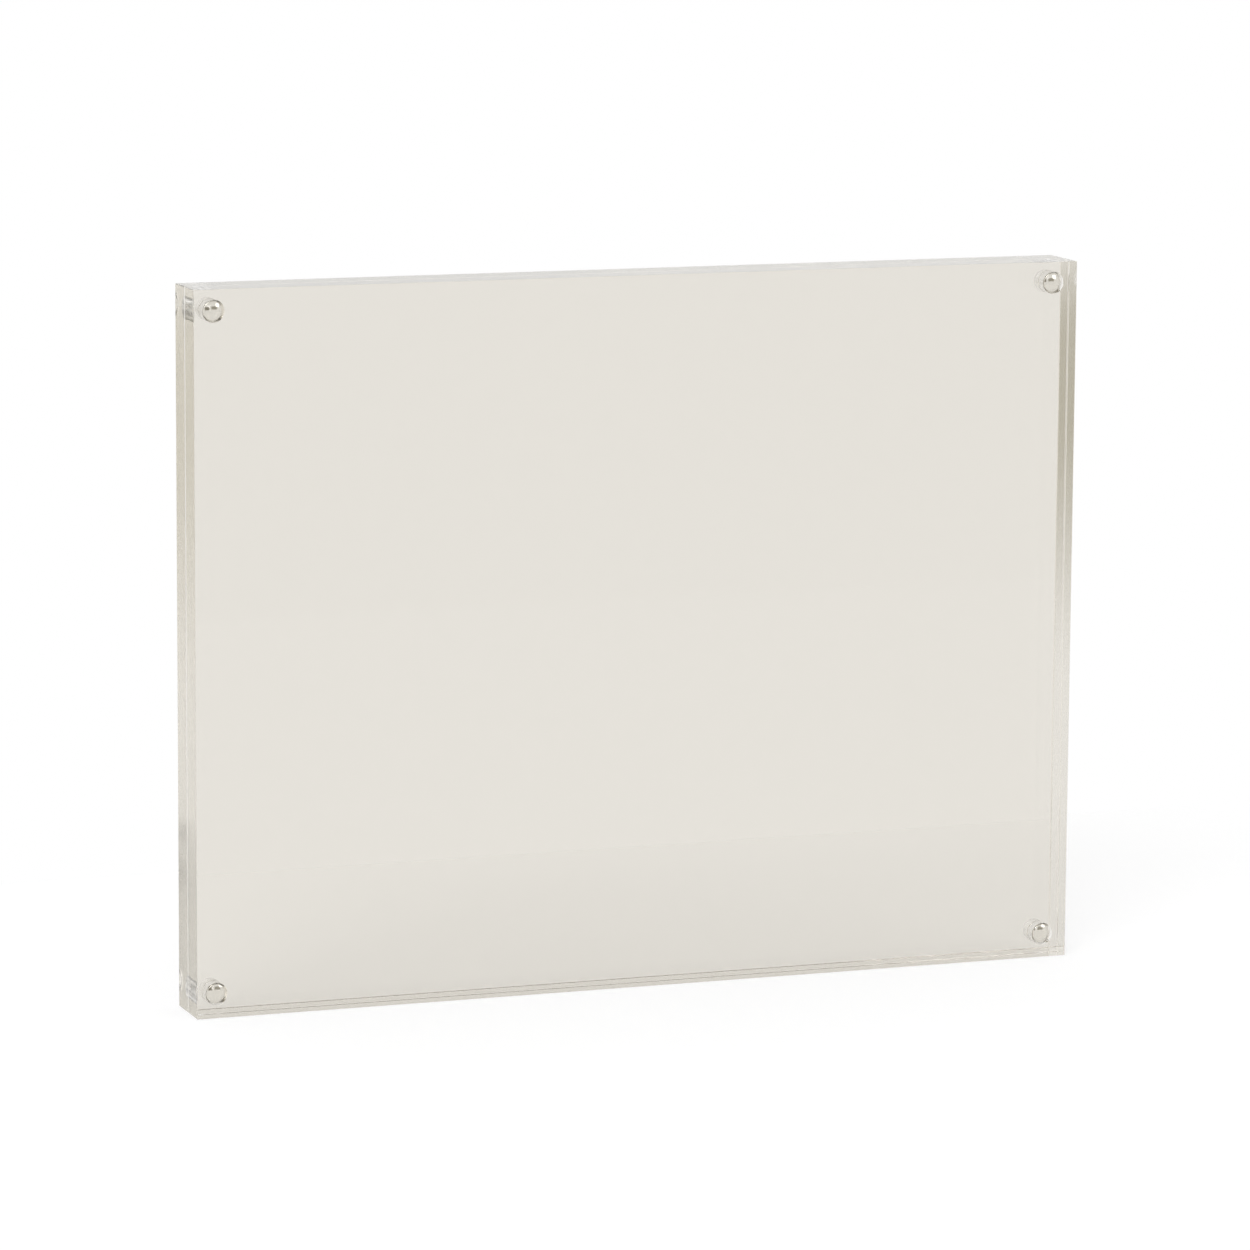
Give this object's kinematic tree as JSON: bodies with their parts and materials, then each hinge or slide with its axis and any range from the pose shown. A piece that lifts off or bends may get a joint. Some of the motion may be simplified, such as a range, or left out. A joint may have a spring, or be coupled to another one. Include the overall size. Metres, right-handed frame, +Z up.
{
  "type": "magnetic sign holder",
  "caption": "Clear block sign holder: thick acrylic panels that clasp a landscape sheet between them, held by disc magnets in drilled pockets near the corners.",
  "frame": {"origin": "centre of the holder's footprint, on the surface that it stands on", "axes": "+X along the long edge to the right as seen from the front, +Y from the front to the back, +Z up"},
  "size_m": [0.2794, 0.0194, 0.2159],
  "materials": {
    "clear_acrylic": "clear cast sheet with polished edges",
    "nickel_plate": "bright nickel plate"
  },
  "bodies": {
    "rear_half": {"rear_panel": "clear_acrylic", "rear_magnet_upper_left": "nickel_plate", "rear_magnet_upper_right": "nickel_plate", "rear_magnet_lower_left": "nickel_plate", "rear_magnet_lower_right": "nickel_plate"},
    "front_half": {"front_panel": "clear_acrylic", "front_magnet_upper_left": "nickel_plate", "front_magnet_upper_right": "nickel_plate", "front_magnet_lower_left": "nickel_plate", "front_magnet_lower_right": "nickel_plate"}
  },
  "joints": [
    {"name": "front_panel_pull", "type": "slide", "parent": "rear_half", "child": "front_half", "axis": [0, -1, 0], "range_m": [0, 0.1]}
  ]
}
